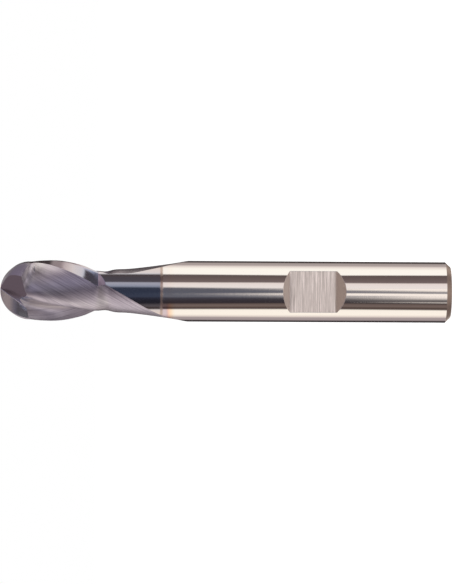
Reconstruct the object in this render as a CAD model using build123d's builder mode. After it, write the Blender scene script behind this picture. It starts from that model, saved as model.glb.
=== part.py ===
# Ball nose end mill with two flutes, ground from one carbide rod. Sizes are in millimetres.
#
# Z runs along the tool. The shank's end face is at Z = 0 and the tip of the ball is at the top.
# Places along the cutting end are given as a distance back from the tip. Angles run anticlockwise seen from
# the tip, which is the way the tool turns. The clamping flat faces -Y.

import os
from math import acos, asin, atan2, cos, degrees, exp, hypot, pi, radians, sin, sqrt, tan

from build123d import *

# The rod
diameter = 8.0
overall_length = 59.3
shank_chamfer = 0.68

# The clamping flat, with the reach of each sloping end from the floor's edge to the rod's surface
flat_from_axis = 2.93
flat_length = 6.2
flat_centre_from_end = 18.2
flat_front_slope = 0.93
flat_back_slope = 1.2

# The helix of the cutting edges, and where the first edge crosses the X axis
flute_count = 2
helix_angle = 30.0
edge_on_x_axis_at = 6.75

# A flute's section across the tool: rake face, root, rounded floor, and a flatter side up to the heel.
# Its bends grow with the rod, so they are given as shares of its radius.
rake_angle = 8.0
root_share = 0.2
floor_share = 0.45
floor_offset_share = 0.25
floor_direction = 85.0
side_share = 1.25
land_angle = 29.8

# Where the flute starts on the ball its heel side is further in and its floor deeper, fading along the tool
flute_start_share = 0.62
narrowing_at_start = 72.0
deepening_share_at_start = 0.1
opening_length = 1.5
opening_power = 1.5

# The run-out, where the grinding wheel leaves the rod along a floor that rises and flattens. Its bend across
# the tool starts this much wider than the rod's radius.
helix_end = 12.9
wheel_leaves_at = 14.9
run_out_start = 13.4
run_out_end = 25.0
run_out_depth = 1.5
run_out_rise_power = 1.2
run_out_bend_past_radius = 1.48
run_out_flattening = 0.548
run_out_turn = 28.5
run_out_last_turn = -3.0

# The land: a narrow margin behind the cutting edge, then a facet down to the heel, which ends in a ramp
edge_below_rod = 0.015
margin_width = 0.32
margin_relief = 6.0
facet_relief = 21.0
relief_end = 12.85
relief_ramp_length = 1.4
relief_ramp_rise = 0.3

# The edges over the ball, and the gashes that carry them to the tip
ball_edge_turn = 7.0
ball_relief_turn = 100.0
web_at_tip = 0.2
gash_below_tip = 0.32
gash_slope = 37.5
gash_opening = 106.0
gash_root_radius = 0.12

radius = diameter / 2
root_radius = root_share * radius
side_radius = side_share * radius
flute_start = flute_start_share * radius
lead = pi * diameter / tan(radians(helix_angle))

# The edges lie just below the rod that the tool is ground from, so the rod is that much longer
rod_tip = overall_length + edge_below_rod

# Cutting shapes reach out to this distance from the axis, and past what they cut by this clearance
outside = 1.3 * radius
clear = 0.15 * radius
far = 2 * radius
run_out_half_width = 0.9 * outside


def polar(reach, angle):
    """The point at a distance from the axis and at an angle in degrees."""
    return reach * cos(radians(angle)), reach * sin(radians(angle))


def moved(point, reach, angle):
    """The point that lies at a distance and an angle from another."""
    step = polar(reach, angle)
    return point[0] + step[0], point[1] + step[1]


def spread(start, end, count):
    """Evenly spaced values from one to another, both included."""
    return [start + (end - start) * i / (count - 1) for i in range(count)]


def turned(points, angle):
    """Points turned about the axis."""
    return [polar(hypot(*point), degrees(atan2(point[1], point[0])) + angle) for point in points]


def blended(first, second, share):
    """The point at a share of the way from one to another."""
    return tuple(a + (b - a) * share for a, b in zip(first, second))


def across(from_tip, angle=0):
    """The plane across the tool at a distance back from the tip, with its X axis at an angle."""
    return Plane(origin=(0, 0, rod_tip - from_tip), x_dir=(*polar(1, angle), 0), z_dir=(0, 0, 1))


def edge_angle(from_tip):
    """The angle of the first cutting edge at a distance back from the tip."""
    return (edge_on_x_axis_at - from_tip) * 360 / lead


def land_profile():
    """The cutting edge, the margin's end and the heel, across the tool, with the edge on the X axis."""
    edge = (radius - edge_below_rod, 0)
    margin_end = moved(edge, margin_width, 270 - margin_relief)

    # The facet runs down from the margin to the heel, which lies at the land's angle behind the edge
    heel_way = polar(1, -land_angle)
    facet_way = polar(1, 270 - facet_relief)
    aside = margin_end[1] * heel_way[0] - margin_end[0] * heel_way[1]
    facet_width = aside / (facet_way[0] * heel_way[1] - facet_way[1] * heel_way[0])
    return edge, margin_end, moved(margin_end, facet_width, 270 - facet_relief)


def flute_section(from_tip):
    """Points along a flute's section, from outside its cutting edge to outside its heel."""
    inward = 180 + rake_angle
    floor_centre = polar(floor_offset_share * radius, floor_direction)
    closing = exp(-(((from_tip - flute_start) / opening_length) ** opening_power))
    floor_reach = (floor_share - deepening_share_at_start * closing) * radius

    # The root touches the rake face and the floor, so its centre is found down the rake face from the edge
    above = moved((radius, 0), root_radius, inward - 90)
    to_above = above[0] - floor_centre[0], above[1] - floor_centre[1]
    along = to_above[0] * cos(radians(inward)) + to_above[1] * sin(radians(inward))
    apart = hypot(*to_above) ** 2 - (floor_reach + root_radius) ** 2
    rake_depth = -along - sqrt(along**2 - apart)
    root_centre = moved(above, rake_depth, inward)
    floor_start = degrees(atan2(root_centre[1] - floor_centre[1], root_centre[0] - floor_centre[0]))

    # The side touches the floor and passes through the heel, which gives its centre seen from the floor's
    heel_angle = 360 / flute_count - land_angle - narrowing_at_start * closing
    heel = polar(hypot(*land_profile()[2]), heel_angle)
    to_heel = heel[0] - floor_centre[0], heel[1] - floor_centre[1]
    back = side_radius - floor_reach
    cosine = (back**2 + hypot(*to_heel) ** 2 - side_radius**2) / (2 * back * hypot(*to_heel))
    floor_end = degrees(atan2(to_heel[1], to_heel[0]) + acos(cosine)) - 180
    side_centre = moved(floor_centre, back, floor_end + 180)
    side_end = degrees(atan2(heel[1] - side_centre[1], heel[0] - side_centre[0]) + clear / side_radius)

    # Points along the rake face, the root, the floor and the side
    points = [moved((radius, 0), reach, inward) for reach in (-clear, 0.4 * rake_depth, 0.8 * rake_depth)]
    points += [moved(root_centre, root_radius, angle) for angle in spread(inward + 90, floor_start + 180, 3)]
    points += [moved(floor_centre, floor_reach, angle) for angle in spread(floor_start, floor_end, 5)[1:]]
    points += [moved(side_centre, side_radius, angle) for angle in spread(floor_end, side_end, 4)[1:]]
    return turned(points, edge_angle(from_tip))


# All sections share the spacing of the points along this one, so that the surface runs true between them
plain_section = flute_section(2 * radius)
gaps = [hypot(b[0] - a[0], b[1] - a[1]) for a, b in zip(plain_section, plain_section[1:])]
spacing = [sum(gaps[:i]) / sum(gaps) for i in range(len(plain_section))]


def run_out_section(from_tip):
    """Points along the run-out's floor, an arc that rises and flattens until it leaves the rod."""
    share = (from_tip - run_out_start) / (run_out_end - run_out_start)
    level = radius - run_out_depth * (1 - share**run_out_rise_power)
    left = max(1 - share, 0.01)
    bend = (radius + run_out_bend_past_radius) / (left * (1 + run_out_flattening * (1 - left**2)))
    half = degrees(asin(run_out_half_width / bend))
    points = [moved((level - bend, 0), bend, half * (2 * part - 1)) for part in spacing]
    return turned(points, run_out_last_turn + run_out_turn * (1 - share) ** 2)


with BuildPart() as flute:
    # Sections of the flute, closer together near the tip where it opens
    sections = []
    for share in spread(0, 1, 11):
        from_tip = flute_start + (helix_end - flute_start) * share**opening_power
        sections.append((from_tip, flute_section(from_tip)))

    # Two sections in between, which ease the flute into the run-out
    for share in (0.3, 0.7):
        from_tip = helix_end + (wheel_leaves_at - helix_end) * share
        weight = share**2 * (3 - 2 * share)
        pairs = zip(flute_section(helix_end), run_out_section(from_tip))
        sections.append((from_tip, [blended(*pair, weight) for pair in pairs]))
    for from_tip in spread(wheel_leaves_at, run_out_end + clear, 7):
        sections.append((from_tip, run_out_section(from_tip)))

    # Each section is closed by an arc outside the rod
    for from_tip, points in sections:
        with BuildSketch(across(from_tip)):
            with BuildLine():
                add(Edge.make_spline(points, parameters=spacing))
                outward = degrees(atan2(points[-1][1] - points[0][1], points[-1][0] - points[0][0])) - 90
                ThreePointArc(points[-1], polar(1.5 * radius, outward), points[0])
            make_face()
    loft()

# The land's void is what grinding takes off along the margin, the facet and a rounded back behind the heel
with BuildSketch() as land_void:
    with BuildLine():
        edge, margin_end, heel = land_profile()
        Polyline((outside, clear), moved(edge, clear, 90 - margin_relief), margin_end, heel)
        TangentArc(heel, (clear, -radius), tangent=polar(1, 270 - facet_relief))
        Polyline((clear, -radius), (outside, -radius), (outside, clear))
    make_face()

tip = Vector(0, 0, rod_tip)
ball_centre = Vector(0, 0, rod_tip - radius)
edge_out = Vector(*polar(1, edge_angle(radius)))
edge_out_at_tip = Vector(*polar(1, edge_angle(radius) + ball_edge_turn))
rake_normal = (tip - ball_centre - edge_out * radius).cross(edge_out_at_tip).normalized()
ball_plane = Plane(origin=ball_centre, x_dir=edge_out, z_dir=edge_out.cross(rake_normal))

with BuildPart() as relief:
    with BuildSketch(ball_plane):
        add(land_void.sketch)
    for from_tip in spread(radius, relief_end, 8)[1:]:
        with BuildSketch(across(from_tip, edge_angle(from_tip))):
            add(land_void.sketch)
    loft()

with BuildPart() as relief_ramp:
    with BuildSketch(across(relief_end, edge_angle(relief_end))):
        add(land_void.sketch)
    ramp_end = relief_end + relief_ramp_length
    with BuildSketch(across(ramp_end, edge_angle(ramp_end))):
        with Locations((relief_ramp_rise, 0)):
            add(land_void.sketch)
    loft(ruled=True)

# Over the ball the land's void turns about an axis through the ball's centre, square to the rake face
with BuildPart() as ball_relief:
    with BuildSketch(ball_plane):
        add(land_void.sketch)
    revolve(axis=Axis(ball_centre, -rake_normal), revolution_arc=ball_relief_turn)

# A gash is a wedge between the rake face of one tooth and a back wall ground into the other
down = (Vector(0, 0, -1) + rake_normal * rake_normal.Z).normalized()
out = down.cross(rake_normal)
gash_plane = Plane(
    origin=tip + down * gash_below_tip + rake_normal * (web_at_tip / 2),
    x_dir=out * cos(radians(gash_slope)) - down * sin(radians(gash_slope)),
    z_dir=-out * sin(radians(gash_slope)) - down * cos(radians(gash_slope)),
)

with BuildPart() as gash:
    with BuildSketch(gash_plane) as wedge:
        with BuildLine():
            Polyline((far, 0), (0, 0), polar(far, gash_opening), (far, far), close=True)
        make_face()
        fillet(wedge.vertices().sort_by_distance(gash_plane.origin)[0], gash_root_radius)
    extrude(amount=far, both=True)

with BuildPart() as end_mill:
    with BuildSketch(Plane.XZ):
        with BuildLine():
            Polyline(
                (0, rod_tip),
                (0, 0),
                (radius - shank_chamfer, 0),
                (radius, shank_chamfer),
                (radius, rod_tip - radius),
            )
            CenterArc((0, rod_tip - radius), radius, 0, 90)
        make_face()
    revolve(axis=Axis.Z)

    # The clamping flat
    with BuildSketch(Plane.YZ):
        slope_reach = (outside - flat_from_axis) / (radius - flat_from_axis)
        back_end = flat_centre_from_end - flat_length / 2
        front_end = flat_centre_from_end + flat_length / 2
        with BuildLine():
            Polyline(
                (-flat_from_axis, back_end),
                (-flat_from_axis, front_end),
                (-outside, front_end + flat_front_slope * slope_reach),
                (-outside, back_end - flat_back_slope * slope_reach),
                close=True,
            )
        make_face()
    extrude(amount=outside, both=True, mode=Mode.SUBTRACT)

    for void in (flute, relief, relief_ramp, ball_relief, gash):
        with PolarLocations(0, flute_count):
            add(void.part, mode=Mode.SUBTRACT)

end_mill.part.label = "end_mill"
os.makedirs("parts", exist_ok=True)
export_step(end_mill.part, "parts/end_mill.step")
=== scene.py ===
"""Looks for the ball nose end mill: its ground and coated surfaces, the studio and the camera."""

import math
from types import SimpleNamespace

import bpy
from mathutils import Matrix, Vector

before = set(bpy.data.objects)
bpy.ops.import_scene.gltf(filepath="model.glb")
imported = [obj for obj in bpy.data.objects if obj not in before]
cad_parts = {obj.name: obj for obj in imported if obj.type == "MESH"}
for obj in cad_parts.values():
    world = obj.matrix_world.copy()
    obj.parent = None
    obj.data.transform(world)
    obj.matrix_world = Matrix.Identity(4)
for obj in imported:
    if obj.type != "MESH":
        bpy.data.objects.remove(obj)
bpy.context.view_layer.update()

MM = 0.001

# The tool in millimetres, as in the CAD model: its shank ends at z = 0 and its tip is at z = LENGTH
LENGTH = 59.3
RADIUS = 4.0
LEAD = 2 * math.pi * RADIUS / math.tan(math.radians(30))
FLUTE_FACES_Y_AT = 49.0
COAT_END = LENGTH - 21.2

# Which way the faces of the gash point, on the tooth nearer the camera
GASH_BACK_NORMAL = (-0.4913, -0.6774, 0.5475)
GASH_FRONT_NORMAL = (0.4924, -0.8619, -0.1211)

# Soft borders between the surfaces, each from no share to a full share.
# Along the tool, from the shank's end:
END_PART = (0.7, 0.66)
FLAT_PART = (12.0, 12.01)
# Where painted shade starts on the flat's floor, towards the shank
FLAT_PAINTED_SHADE_EDGE = (15.48, 15.1)
# Where the flat's walls turn from painted shade to painted light, towards the tip
FLAT_SHADE_TO_LIGHT = (18.1, 18.3)
FLUTED_PART = (34.2, 34.25)

# From the tip:
GASH_FRONT_TURN = (1.1, 2.4)
# Where the painted highlight on the flutes starts, behind the ball
RIM_HIGHLIGHT_START = (3.2, 3.8)
PAST_BALL = (3.9, 4.15)
GASH_PART = (4.6, 4.5)
# Where the painted highlight on the flutes ends
RIM_HIGHLIGHT_END = (9.5, 6.5)
LAND_RUN_OUT = (12.85, 12.9)
RELIEF_PART = (14.3, 14.25)

# Below the skin of the rod and the ball:
GROUND_DEPTH = (0.008, 0.014)
FLAT_DEPTH = (0.015, 0.03)
RELIEF_DEPTH = (0.25, 0.22)
# How deep the painted highlights on the flutes reach, near their outer edge and along their root
RIM_HIGHLIGHT_DEPTH = (0.8, 0.35)
ROOT_HIGHLIGHT_DEPTH = (1.3, 1.85)

# In y, where the flat's floor is at -2.93:
FLAT_FLOOR = (-2.96, -2.94)

# In how far a surface faces the way that the skin or the gash does:
# Which faces in the flutes take the painted highlight
RIM_HIGHLIGHT_FACING = (0.1, 0.4)
SKIN_FACING = (0.908, 0.92)
GASH_BACK_FACING = (0.985, 0.99)
GASH_FRONT_FACING = (0.992, 0.996)

# From the coating's wavering end, towards the shank:
COATED = (0.06, 0.0)
COAT_EDGE_START = (-0.24, -0.02)
COAT_EDGE_END = (0.34, 0.1)
WAVER_SCALE = 700.0
WAVER = 0.16

# Lines that the wheels left: how often they change along and across themselves, and the detail and
# roughness of their noise
SCRATCH_ANGLE = math.radians(7)
COARSE_SCRATCHES = (0.14, 3.6, 3.0, 0.6)
FINE_SCRATCHES = (0.26, 13.0, 3.0, 0.7)
SHANK_RINGS = (0.5, 30.0, 3.0, 0.7)
FLAT_BRUSHING = (0.2, 7.0, 4.0, 0.75)
LINE_DEPTH = 0.00003
SHANK_LINE_STRENGTH = 0.02
CUT_LINE_STRENGTH = 0.5

# The gash's front face is crowned, and the ball's relief leans to the tip, as wheels leave them
GASH_FRONT_MIDDLE = 2.6
GASH_FRONT_CROWN = 0.2
BALL_RELIEF_LEAN = 0.1

# Tones of the coating, by how far it turns from the eye, and of the lines in flutes and flat
COAT_TONES = (
    (0.0, (140, 152, 174)),
    (0.012, (146, 156, 177)),
    (0.03, (172, 180, 198)),
    (0.1, (180, 192, 212)),
    (0.2, (216, 210, 214)),
    (0.32, (226, 214, 212)),
    (1.0, (232, 222, 218)),
)
FLUTE_TONES = ((0.34, (156, 153, 160)), (0.5, (203, 200, 207)), (0.66, (238, 235, 238)))
FLAT_TONES = ((0.3, (148, 136, 130)), (0.5, (189, 177, 171)), (0.7, (230, 218, 212)))
FLAT_METALLIC = 0.4
# How strong the painted highlight near the flutes' outer edge is
RIM_HIGHLIGHT_SHARE = 0.6

# Heat tints on the bare carbide: how far they reach past the coating's end, and on which side
TINT_LENGTH = 1.85
TINT_WAY = (-0.72, -0.69)
TINT_SIDE = (0.88, 0.965)
LEAST_TINT = 0.1
TINTS = (
    (0.0, (216, 205, 219)),
    (0.34, (218, 206, 219)),
    (0.43, (222, 200, 204)),
    (0.5, (242, 211, 206)),
    (0.57, (255, 221, 204)),
    (0.64, (255, 232, 212)),
    (0.72, (255, 238, 220)),
    (0.86, (255, 250, 242)),
    (1.0, (255, 255, 255)),
)

# What polished metal mirrors, as tones at angles in degrees round the tool: 0 is towards the camera
# and 90 is the picture's upper side. The bands are the softboxes and flags at the tool's level.
BANDS = (
    # The dark behind the tool, and a grey card
    (-144, (60, 54, 56)),
    (-134, (162, 150, 152)), (-116, (166, 154, 155)),
    # The lower softbox
    (-110, (212, 200, 195)), (-103, (238, 228, 219)),
    (-96, (254, 246, 235)), (-75, (252, 244, 234)),
    # A brown flag, and a black one
    (-69, (84, 72, 68)), (-63, (84, 71, 67)), (-57, (116, 101, 96)), (-48, (100, 86, 82)),
    (-43, (50, 44, 48)), (-32, (54, 50, 56)), (-23, (66, 64, 74)),
    # The grey round the camera, and a strip light above it
    (-19, (98, 99, 110)), (-10, (90, 92, 104)), (10, (90, 90, 100)),
    (15, (234, 226, 224)), (33.3, (230, 218, 215)),
    # Another brown flag
    (37.3, (114, 100, 99)), (65, (92, 80, 79)),
    # The upper softbox
    (68, (254, 250, 244)), (92, (254, 250, 242)),
    (103, (238, 229, 222)), (110, (222, 211, 207)),
    # A grey card, and the dark behind the tool
    (114, (200, 188, 185)), (118, (172, 160, 158)), (135, (167, 156, 154)),
    (142, (74, 67, 66)), (180, (66, 59, 58)),
)

# The rows are the broader and softer tones above and below that, from the highest to the lowest
HIGH = (
    (-180, (118, 108, 114)), (-110, (108, 98, 108)), (-90, (104, 94, 102)),
    (-52, (92, 82, 92)), (-38, (126, 118, 130)), (-20, (156, 148, 162)),
    (0, (120, 112, 126)), (60, (126, 114, 128)), (90, (126, 112, 130)),
    (140, (120, 108, 122)), (180, (118, 108, 114)),
)
UPPER = (
    (-180, (140, 130, 134)), (-150, (150, 140, 144)), (-130, (226, 214, 218)),
    (-100, (166, 154, 162)), (-75, (106, 94, 106)), (-50, (96, 86, 100)),
    (-42, (100, 92, 106)), (-30, (140, 132, 148)), (-15, (178, 172, 192)),
    (0, (168, 160, 180)), (20, (156, 146, 162)), (34, (170, 160, 173)),
    (44, (214, 200, 205)), (55, (254, 244, 246)), (66, (254, 242, 246)),
    (73, (130, 118, 130)), (95, (124, 112, 126)), (150, (118, 108, 118)),
    (180, (140, 130, 134)),
)
ABOVE = (
    (-180, (176, 166, 168)), (-160, (184, 174, 176)), (-149, (132, 122, 126)),
    (-135, (196, 186, 190)), (-122, (240, 228, 230)), (-85, (244, 230, 232)),
    (-66, (234, 220, 224)), (-54, (206, 194, 199)), (-40, (172, 160, 168)),
    (-30, (118, 108, 120)), (-21, (46, 42, 54)), (-15, (56, 52, 66)),
    (-8, (112, 106, 122)), (0, (150, 144, 164)), (14, (160, 154, 176)),
    (24, (134, 124, 142)), (36, (146, 135, 146)), (46, (222, 209, 213)),
    (55, (255, 246, 246)), (80, (255, 246, 246)), (86, (150, 138, 150)),
    (95, (124, 112, 126)), (122, (120, 108, 120)), (134, (150, 140, 148)),
    (150, (112, 102, 110)), (180, (176, 166, 168)),
)
BENEATH = (
    (-180, (236, 228, 222)), (-164, (244, 237, 231)), (-156, (92, 82, 80)),
    (-140, (84, 76, 76)), (-130, (206, 197, 192)), (-116, (238, 230, 224)),
    (-106, (176, 164, 166)), (-72, (160, 150, 152)), (-45, (162, 152, 154)),
    (-8, (152, 144, 150)), (8, (134, 127, 136)), (34, (146, 138, 144)),
    (45, (140, 130, 142)), (52, (104, 92, 92)), (62, (98, 86, 84)),
    (68, (250, 242, 238)), (80, (250, 242, 238)), (92, (160, 150, 154)),
    (108, (98, 89, 88)), (120, (98, 89, 88)), (128, (240, 232, 226)),
    (152, (232, 223, 218)), (160, (128, 118, 115)), (172, (142, 132, 128)),
    (180, (236, 228, 222)),
)
BELOW = (
    (-180, (214, 205, 200)), (-160, (218, 209, 204)), (-146, (128, 119, 118)),
    (-128, (134, 124, 124)), (-112, (208, 198, 195)), (-98, (180, 168, 172)),
    (-75, (166, 154, 160)), (-50, (188, 176, 183)), (-38, (172, 160, 167)),
    (-22, (214, 202, 209)), (-8, (246, 236, 242)), (4, (222, 212, 221)),
    (18, (158, 150, 163)), (30, (142, 134, 147)), (42, (240, 229, 233)),
    (52, (255, 250, 250)), (64, (255, 250, 250)), (71, (248, 238, 246)),
    (82, (190, 180, 196)), (100, (128, 119, 122)), (116, (136, 127, 126)),
    (132, (214, 205, 200)), (152, (200, 190, 186)), (166, (150, 140, 138)),
    (180, (214, 205, 200)),
)
LOW = (
    (-180, (158, 149, 148)), (-110, (120, 111, 114)), (-60, (82, 75, 81)),
    (60, (82, 75, 81)), (120, (140, 131, 132)), (180, (158, 149, 148)),
)
FLOOR = (
    (-180, (200, 191, 187)), (-100, (160, 150, 150)), (0, (200, 190, 191)),
    (70, (200, 190, 191)), (110, (156, 146, 148)), (180, (200, 191, 187)),
)

# Heights in degrees at which each row takes over from what is nearer the tool's level
HIGH_AT = (30.0, 36.0)
UPPER_AT = (18.0, 23.0)
ABOVE_AT = (0.8, 3.8)
BENEATH_AT = (-7.0, -12.0)
BELOW_AT = (-30.0, -36.0)
LOW_AT = (-47.0, -52.0)
FLOOR_AT = (-61.0, -67.0)

# The row above starts some degrees higher past one soft border round the tool, in radians. Past
# another it slants, by a share of a turn that grows between two heights.
LIFT = 10.0
LIFT_FROM = (math.radians(36), math.radians(46))
SLANT = 16 / 360
SLANT_HEIGHTS = (4.0, 20.0)
SLANT_FROM = (0.1, -0.1)

# The bands' edges aren't quite level. Each line takes those between two soft borders round the
# tool, in radians, and moves them by degrees that grow to their full size between two heights.
DRIFTS = (
    ((-3.2, -3.15), (-0.9, -1.1), (-3.2, -1.2), -2.0),
    ((0.1, 0.17), (0.5, 0.4), (-2.3, -0.9), -3.2),
    ((0.44, 0.54), (0.95, 0.85), (-2.4, -1.3), 1.4),
    ((0.44, 0.54), (0.95, 0.85), (-2.8, -3.8), 1.1),
    ((1.02, 1.08), (1.35, 1.25), (-2.8, -3.6), -1.5),
)

# A pale table shows a few degrees below the tool's level: how much of its far part shows at each
# angle, how many tens of degrees down that part starts, and how much of its near part shows
TABLE_TONE = (250, 240, 233)
TABLE_FAR = (
    (-47, 0.0), (-36, 0.12), (-28, 0.28), (-22, 0.35), (-15, 0.32), (-13, 1.0),
    (-6, 1.0), (-4, 0.15), (4, 0.15), (9, 1.0), (13, 1.0), (15, 0.0),
)
TABLE_FAR_START = (
    (-36, 0.29), (-28, 0.26), (-22, 0.2), (-15, 0.14), (-6, 0.14), (-4, 0.2),
    (13, 0.2), (15, 0.3),
)
TABLE_NEAR = (
    (-43, 0.0), (-40, 0.8), (-37, 0.1), (-31, 0.12), (-24, 0.7), (-19, 1.0),
    (-7, 1.0), (-4, 0.2), (0, 0.2), (5, 0.95), (13, 1.0), (15, 0.0),
)
TABLE_FAR_FADE = 2.0
TABLE_NEAR_AT = (4.0, 4.7)
TABLE_END = (9.0, 7.0)

# Plain light on what isn't polished, and the floor and the lamps, in metres and watts
WORLD_LIGHT = 0.55
FLOOR_REACH = 40.0
FLOOR_GREY = 0.8
FLOOR_GLOW = 1.5
FLOOR_GLOW_SHARE = 0.6
LAMP_SIZE = 0.4
LAMPS_AIM_AT = (0, 0, 0.03)

# The camera that the photo was taken with, as measured from the tool's outline in it
IMAGE = (452, 584)
PIXELS_PER_MM = 7.5875
DISTANCE_PX = 4118.0
SENSOR_HEIGHT = 24.0
CLIP_START = 0.01
AXIS_TILT = math.radians(1.85)
AXIS_ROLL = 0.00517
TARGET_FROM_TIP = 29.72
TARGET_PX = (226.0, 291.4)


def shade(red, green, blue):
    """A colour as the shader takes it, from sRGB numbers from 0 to 255."""
    values = [c / 255 for c in (red, green, blue)]
    linear = [c / 12.92 if c < 0.04045 else ((c + 0.055) / 1.055) ** 2.4 for c in values]
    return (*linear, 1.0)


def by_angle(stops):
    """Stops at shares of a turn, from stops at degrees from the camera's side."""
    return [(0.5 + angle / 360, value) for angle, value in stops]


class Nodes:
    """A short way to write shader nodes."""

    def __init__(self, tree):
        self.tree = tree
        tree.nodes.clear()

    def add(self, kind, inputs=None, **settings):
        node = self.tree.nodes.new(kind)
        for name, value in settings.items():
            setattr(node, name, value)
        for key, value in (inputs or {}).items():
            socket = node.inputs[key]
            if isinstance(value, bpy.types.NodeSocket):
                self.tree.links.new(value, socket)
            else:
                socket.default_value = value
        return node

    def math(self, operation, *numbers):
        return self.add("ShaderNodeMath", dict(enumerate(numbers)), operation=operation).outputs[0]

    def plus(self, first, second):
        return self.math("ADD", first, second)

    def minus(self, first, second):
        return self.math("SUBTRACT", first, second)

    def times(self, product, *factors):
        for factor in factors:
            product = self.math("MULTIPLY", product, factor)
        return product

    def length(self, first, second):
        return self.math("SQRT", self.plus(self.times(first, first), self.times(second, second)))

    def step(self, value, start, end, low=0.0, high=1.0):
        """Rises smoothly from low at start to high at end."""
        inputs = {0: value, 1: start, 2: end, 3: low, 4: high}
        return self.add("ShaderNodeMapRange", inputs, interpolation_type="SMOOTHSTEP").outputs[0]

    def blend(self, share, first, second):
        """A number that is the first where the share is 0 and the second where it is 1."""
        inputs = {0: share, 2: first, 3: second}
        return self.add("ShaderNodeMix", inputs, data_type="FLOAT").outputs[0]

    def mix(self, share, first, second, way="MIX"):
        """A colour that is the first where the share is 0 and the second where it is 1."""
        inputs = {0: share, 6: first, 7: second}
        return self.add("ShaderNodeMix", inputs, data_type="RGBA", blend_type=way).outputs[2]

    def ramp(self, value, stops):
        """A colour that follows (place, colour) stops, with the colours' sRGB numbers."""
        return self.follow(value, [(place, shade(*colour)) for place, colour in stops])

    def levels(self, value, stops):
        """A number that follows (place, number) stops, with numbers from 0 to 1."""
        return self.follow(value, [(place, (level, level, level, 1.0)) for place, level in stops])

    def follow(self, value, stops):
        """A ramp through (place, colour) stops, with colours as the shader takes them."""
        node = self.add("ShaderNodeValToRGB", {0: value})
        elements = node.color_ramp.elements
        while len(elements) < len(stops):
            elements.new(0.5)
        for element, (place, colour) in zip(elements, stops):
            element.position = place
            element.color = colour
        return node.outputs[0]

    def split(self, vector):
        return self.add("ShaderNodeSeparateXYZ", {0: vector}).outputs

    def combine(self, x, y, z):
        return self.add("ShaderNodeCombineXYZ", {0: x, 1: y, 2: z}).outputs[0]

    def vector(self, operation, *vectors, output="Vector"):
        node = self.add("ShaderNodeVectorMath", dict(enumerate(vectors)), operation=operation)
        return node.outputs[output]

    def noise(self, vector, scale, detail=2.0, roughness=0.5):
        inputs = {"Vector": vector, "Scale": scale, "Detail": detail, "Roughness": roughness}
        return self.add("ShaderNodeTexNoise", inputs).outputs[0]

    def lines(self, along, across, style, apart):
        """Noise that is drawn out into lines, with other lines where apart differs."""
        often_along, often_across, detail, roughness = style
        along, across = self.times(along, often_along), self.times(across, often_across)
        return self.noise(self.combine(along, across, apart), 1.0, detail, roughness)


def find_surfaces(n):
    """Where a point lies on the tool, and how far it is on each ground surface, from 0 to 1."""
    place = n.add("ShaderNodeTexCoord").outputs["Object"]
    x, y, z = (n.math("DIVIDE", part, MM) for part in n.split(place))
    at = SimpleNamespace(place=place, x=x, y=y, z=z)
    at.reach = n.length(x, y)
    at.turn = n.math("ARCTAN2", y, x)
    at.from_tip = n.minus(LENGTH, z)
    ball_height = n.math("MAXIMUM", n.minus(RADIUS, at.from_tip), 0.0)
    at.below_skin = n.minus(RADIUS, n.length(at.reach, ball_height))
    at.facing = n.add("ShaderNodeNewGeometry").outputs["Normal"]
    at.ways = n.split(at.facing)
    out_of_skin = n.vector("NORMALIZE", n.combine(x, y, ball_height))
    at.skinward = n.vector("DOT_PRODUCT", at.facing, out_of_skin, output="Value")

    in_front = n.step(z, *FLUTED_PART)
    at.ground = n.times(n.step(at.below_skin, *GROUND_DEPTH), in_front)
    at.unground = n.minus(1.0, at.ground)
    flat_depth = n.step(at.below_skin, *FLAT_DEPTH)
    at.flat = n.times(flat_depth, n.minus(1.0, in_front), n.step(z, *FLAT_PART))
    at.flat_floor = n.times(at.flat, n.step(y, *FLAT_FLOOR))
    at.end = n.step(z, *END_PART)

    # Relieved surfaces face nearly as the skin does, and the gash's two faces have their own ways
    relieved = n.times(
        n.step(at.skinward, *SKIN_FACING),
        n.step(at.from_tip, *RELIEF_PART),
        n.step(at.below_skin, *RELIEF_DEPTH),
    )
    past_ball = n.step(at.from_tip, *PAST_BALL)
    at.land = n.times(relieved, at.ground, past_ball)
    at.ball_relief = n.times(relieved, n.minus(1.0, past_ball))
    at.cut = n.math("MAXIMUM", at.ground, at.ball_relief)
    near_tip = n.step(at.from_tip, *GASH_PART)
    back = facing_like(n, at.ways, GASH_BACK_NORMAL, GASH_BACK_FACING)
    front = facing_like(n, at.ways, GASH_FRONT_NORMAL, GASH_FRONT_FACING)
    at.gash_back = n.times(back, near_tip)
    at.gash_front = n.times(front, near_tip)
    at.gash = n.math("MAXIMUM", at.gash_back, at.gash_front)
    at.fluted = n.times(n.minus(1.0, n.math("MAXIMUM", relieved, at.gash)), at.ground)
    return at


def facing_like(n, ways, normal, border):
    """1 on the faces that point one way, on either tooth."""
    level = n.plus(n.times(ways[0], normal[0]), n.times(ways[1], normal[1]))
    along = n.plus(n.math("ABSOLUTE", level), n.times(ways[2], normal[2]))
    return n.step(along, *border)


def draw_lines(n, at):
    """The lines that the wheels left in the flutes, round the shank and across the flat."""
    # Those in the flutes slant across them, in a frame that turns with the helix
    swing = n.times(n.minus(at.z, FLUTE_FACES_Y_AT), 2 * math.pi / LEAD)
    turned = n.minus(at.turn, swing)
    outward = n.times(at.reach, n.math("SINE", turned))
    tooth = n.times(n.math("SIGN", outward), -1.0)
    aside = n.times(at.reach, n.math("COSINE", turned), tooth)
    cos, sin = math.cos(SCRATCH_ANGLE), math.sin(SCRATCH_ANGLE)
    across = n.minus(n.times(aside, cos), n.times(at.z, sin))
    along = n.plus(n.times(aside, sin), n.times(at.z, cos))
    coarse = n.lines(along, across, COARSE_SCRATCHES, tooth)
    fine = n.lines(along, across, FINE_SCRATCHES, tooth)
    scratches = n.times(n.plus(coarse, fine), 0.5)

    rings = n.lines(at.turn, at.z, SHANK_RINGS, 0.0)
    brushing = n.lines(at.x, at.z, FLAT_BRUSHING, 3.0)
    return scratches, rings, brushing


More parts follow.
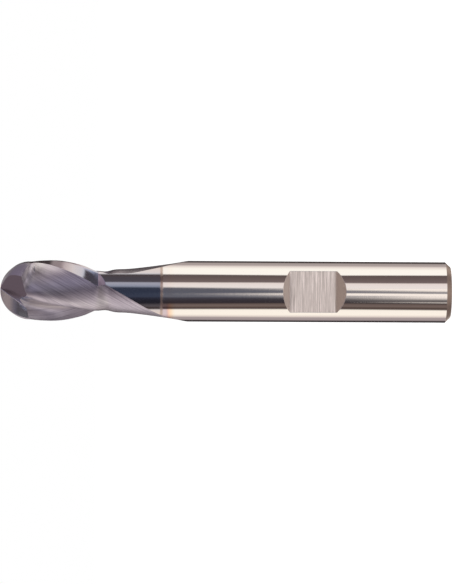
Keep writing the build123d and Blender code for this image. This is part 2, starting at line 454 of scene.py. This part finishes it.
def coat_colour(n, at, scratches):
    """The coating: violet-grey, bluer where it faces the eye, streaked by the wheels, and painted
    paler in its flutes as highlights.
    """
    skin = n.ramp(n.add("ShaderNodeLayerWeight", {0: 0.5}).outputs["Facing"], COAT_TONES)
    colour = n.mix(at.cut, skin, shade(224, 226, 230))
    colour = n.mix(at.land, colour, n.mix(1.0, skin, shade(238, 242, 251), "MULTIPLY"))
    run_out = n.times(at.land, n.step(at.from_tip, *LAND_RUN_OUT))
    colour = n.mix(run_out, colour, shade(200, 188, 196))

    # The flutes are painted paler near their outer edge, behind the ball, and along their root:
    # painted highlights
    painted_rim_highlight = n.times(
        n.step(at.below_skin, *RIM_HIGHLIGHT_DEPTH),
        n.step(at.skinward, *RIM_HIGHLIGHT_FACING),
        n.step(at.from_tip, *RIM_HIGHLIGHT_START),
        n.step(at.from_tip, *RIM_HIGHLIGHT_END),
    )
    flute_lines_and_highlights = n.mix(n.times(painted_rim_highlight, RIM_HIGHLIGHT_SHARE), n.ramp(scratches, FLUTE_TONES), shade(255, 250, 250))
    flute_lines_and_highlights = n.mix(n.step(at.below_skin, *ROOT_HIGHLIGHT_DEPTH), flute_lines_and_highlights, shade(250, 246, 246))
    colour = n.mix(at.fluted, colour, flute_lines_and_highlights)

    front = n.mix(n.step(at.from_tip, *GASH_FRONT_TURN), shade(208, 199, 197), shade(188, 198, 212))
    colour = n.mix(at.gash_back, colour, shade(222, 212, 214))
    return n.mix(at.gash_front, colour, front)


def bare_colour(n, at, brushing, past_coat):
    """The bare carbide: the shank, the flat and its sloping ends in painted shade and light, the
    chamfer and the tints.
    """
    # Painted shade on the flat's walls towards the shank and on its floor's shank-side edge,
    # painted light on its walls towards the tip
    slope_shade_and_light = n.mix(n.step(at.z, *FLAT_SHADE_TO_LIGHT), shade(133, 117, 108), shade(178, 163, 155))
    floor = n.mix(n.step(at.z, *FLAT_PAINTED_SHADE_EDGE), n.ramp(brushing, FLAT_TONES), slope_shade_and_light)
    colour = n.mix(at.flat, shade(253, 250, 247), n.mix(at.flat_floor, slope_shade_and_light, floor))
    colour = n.mix(at.end, colour, shade(198, 180, 165))

    way = n.plus(n.times(at.x, TINT_WAY[0]), n.times(at.y, TINT_WAY[1]))
    share = n.step(n.math("DIVIDE", way, RADIUS), *TINT_SIDE, LEAST_TINT, 1.0)
    tint = n.ramp(n.math("DIVIDE", past_coat, TINT_LENGTH), TINTS)
    return n.mix(share, colour, tint, "MULTIPLY")


def bent_normal(n, at):
    """The way a surface faces, with the gash's front face crowned and the ball's relief leaning."""
    to_middle = n.math("MINIMUM", n.minus(at.from_tip, GASH_FRONT_MIDDLE), 0.0)
    crown = n.times(to_middle, at.gash_front, GASH_FRONT_CROWN)
    bend = n.combine(
        n.times(at.ways[1], -1.0, crown),
        n.times(at.ways[0], crown),
        n.times(at.ball_relief, BALL_RELIEF_LEAN),
    )
    return n.vector("NORMALIZE", n.vector("ADD", at.facing, bend))


def build_tool_material():
    """One material for the tool, whose surfaces are all ground on one rod."""
    material = bpy.data.materials.new("carbide_coated")
    material.use_nodes = True
    n = Nodes(material.node_tree)
    at = find_surfaces(n)
    scratches, rings, brushing = draw_lines(n, at)

    waver = n.times(n.noise(at.place, WAVER_SCALE), WAVER)
    past_coat = n.minus(n.plus(COAT_END, waver), at.z)
    coated = n.step(past_coat, *COATED)
    coat_edge = n.times(
        n.step(past_coat, *COAT_EDGE_START),
        n.step(past_coat, *COAT_EDGE_END),
        at.unground,
    )
    colour = n.mix(coated, bare_colour(n, at, brushing, past_coat), coat_colour(n, at, scratches))
    colour = n.mix(coat_edge, colour, shade(200, 182, 174))

    # The polished shank, and then the rest, each over what comes before it
    roughness = 0.05
    for share, rough in (
        (coated, 0.07),
        (coat_edge, 0.22),
        (at.cut, 0.24),
        (at.land, 0.12),
        (at.fluted, 0.34),
        (at.gash, 0.2),
        (at.flat, 0.26),
        (at.flat_floor, 0.45),
        (at.end, 0.3),
    ):
        roughness = n.blend(share, roughness, rough)

    lines = n.blend(at.fluted, n.blend(at.flat, rings, brushing), scratches)
    lined = n.math("MAXIMUM", at.fluted, at.flat)
    bump = n.add(
        "ShaderNodeBump",
        {
            "Strength": n.blend(lined, SHANK_LINE_STRENGTH, CUT_LINE_STRENGTH),
            "Distance": LINE_DEPTH,
            "Height": lines,
            "Normal": bent_normal(n, at),
        },
    )
    surface = n.add(
        "ShaderNodeBsdfPrincipled",
        {
            "Base Color": colour,
            "Metallic": n.blend(at.flat, 1.0, FLAT_METALLIC),
            "Roughness": roughness,
            "Normal": bump.outputs[0],
        },
    )
    n.add("ShaderNodeOutputMaterial", {0: surface.outputs[0]})
    return material


def add_table(n, seen, turn, height):
    """The pale table that shows below the level of the tool, over what is seen there."""
    lowered = n.times(height, -1.0)
    start = n.times(n.levels(turn, by_angle(TABLE_FAR_START)), 10.0)
    fade = n.step(lowered, start, n.plus(start, TABLE_FAR_FADE))
    far = n.times(fade, n.levels(turn, by_angle(TABLE_FAR)))
    near = n.levels(turn, by_angle(TABLE_NEAR))
    shown = n.blend(n.step(lowered, *TABLE_NEAR_AT), far, near)
    shown = n.times(shown, n.step(lowered, *TABLE_END))
    return n.mix(shown, seen, shade(*TABLE_TONE))


def build_world():
    """White for the camera, plain light for what is matt, and the bands of a studio for metal."""
    world = bpy.data.worlds.new("studio")
    bpy.context.scene.world = world
    world.use_nodes = True
    n = Nodes(world.node_tree)
    way = n.split(n.add("ShaderNodeTexCoord").outputs["Generated"])
    around = n.math("ARCTAN2", way[0], n.times(way[1], -1.0))
    turn = n.plus(0.5, n.math("DIVIDE", around, 2 * math.pi))
    height = n.math("DEGREES", n.math("ARCSINE", way[2]))

    drifted = turn
    for start, end, heights, angle in DRIFTS:
        grown = n.step(height, *heights, 0.0, angle / 360)
        drifted = n.plus(drifted, n.times(n.step(around, *start), n.step(around, *end), grown))
    seen = add_table(n, n.ramp(drifted, by_angle(BANDS)), turn, height)

    lift = n.step(around, *LIFT_FROM, 0.0, LIFT)
    slant = n.times(n.step(height, *SLANT_HEIGHTS, 0.0, SLANT), n.step(around, *SLANT_FROM))
    rows = (
        (ABOVE, n.plus(turn, slant), [n.plus(lift, border) for border in ABOVE_AT]),
        (UPPER, turn, UPPER_AT),
        (HIGH, turn, HIGH_AT),
        (BENEATH, turn, BENEATH_AT),
        (BELOW, turn, BELOW_AT),
        (LOW, turn, LOW_AT),
        (FLOOR, turn, FLOOR_AT),
    )
    for tones, place, heights in rows:
        seen = n.mix(n.step(height, *heights), seen, n.ramp(place, by_angle(tones)))

    path = n.add("ShaderNodeLightPath").outputs
    metal_sees = n.math("MAXIMUM", path["Is Glossy Ray"], path["Is Transmission Ray"])
    colour = n.mix(metal_sees, (1.0, 1.0, 1.0, 1.0), seen)
    plain = n.math("MAXIMUM", metal_sees, path["Is Camera Ray"])
    background = n.add("ShaderNodeBackground", {0: colour, 1: n.blend(plain, WORLD_LIGHT, 1.0)})
    n.add("ShaderNodeOutputWorld", {0: background.outputs[0]})


def build_floor():
    """A pale floor that keeps the tool's soft shadow."""
    mesh = bpy.data.meshes.new("floor")
    r = FLOOR_REACH
    mesh.from_pydata([(-r, -r, 0), (r, -r, 0), (r, r, 0), (-r, r, 0)], [], [(0, 1, 2, 3)])
    floor = bpy.data.objects.new("floor", mesh)
    bpy.context.scene.collection.objects.link(floor)
    floor.visible_glossy = False
    material = bpy.data.materials.new("floor")
    material.use_nodes = True
    n = Nodes(material.node_tree)
    pale = n.add("ShaderNodeBsdfDiffuse", {0: (FLOOR_GREY, FLOOR_GREY, FLOOR_GREY, 1.0)})
    white = n.add("ShaderNodeEmission", {0: (1.0, 1.0, 1.0, 1.0), 1: FLOOR_GLOW})
    share = n.times(n.add("ShaderNodeLightPath").outputs["Is Camera Ray"], FLOOR_GLOW_SHARE)
    surface = n.add("ShaderNodeMixShader", {0: share, 1: pale.outputs[0], 2: white.outputs[0]})
    n.add("ShaderNodeOutputMaterial", {0: surface.outputs[0]})
    mesh.materials.append(material)


def build_lamp(name, place, power):
    """A soft box that faces the tool."""
    data = bpy.data.lights.new(name, "AREA")
    data.size = LAMP_SIZE
    data.energy = power
    lamp = bpy.data.objects.new(name, data)
    lamp.location = place
    to_tool = Vector(LAMPS_AIM_AT) - Vector(place)
    lamp.rotation_euler = to_tool.to_track_quat("-Z", "Y").to_euler()
    lamp.visible_glossy = False
    bpy.context.scene.collection.objects.link(lamp)


def build_camera():
    """The photo's camera: the tip is to the left, +X is up and the shank leans away."""
    data = bpy.data.cameras.new("camera")
    data.sensor_fit = "VERTICAL"
    data.sensor_height = SENSOR_HEIGHT
    data.lens = DISTANCE_PX / IMAGE[1] * SENSOR_HEIGHT
    data.clip_start = CLIP_START
    camera = bpy.data.objects.new("camera", data)

    right = Vector((0, -math.sin(AXIS_TILT), -math.cos(AXIS_TILT)))
    toward = Vector((0, -math.cos(AXIS_TILT), math.sin(AXIS_TILT)))
    up = Vector((1, 0, 0))
    cos, sin = math.cos(AXIS_ROLL), math.sin(AXIS_ROLL)
    camera_right = right * cos + up * sin
    camera_up = up * cos - right * sin
    rightward = (TARGET_PX[0] - IMAGE[0] / 2) / PIXELS_PER_MM
    upward = (IMAGE[1] / 2 - TARGET_PX[1]) / PIXELS_PER_MM
    target = Vector((0, 0, LENGTH - TARGET_FROM_TIP))
    spot = target + toward * (DISTANCE_PX / PIXELS_PER_MM)
    spot -= camera_right * rightward + camera_up * upward
    rotation = Matrix((camera_right, camera_up, toward)).transposed().to_4x4()
    camera.matrix_world = Matrix.Translation(spot * MM) @ rotation
    bpy.context.scene.collection.objects.link(camera)
    bpy.context.scene.camera = camera


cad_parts["end_mill"].data.materials[0] = build_tool_material()
build_world()
build_floor()
build_lamp("key", (0.35, -0.45, 0.55), 6.0)
build_lamp("fill", (-0.5, -0.3, 0.4), 3.0)
build_camera()
bpy.context.scene.view_settings.view_transform = "Standard"
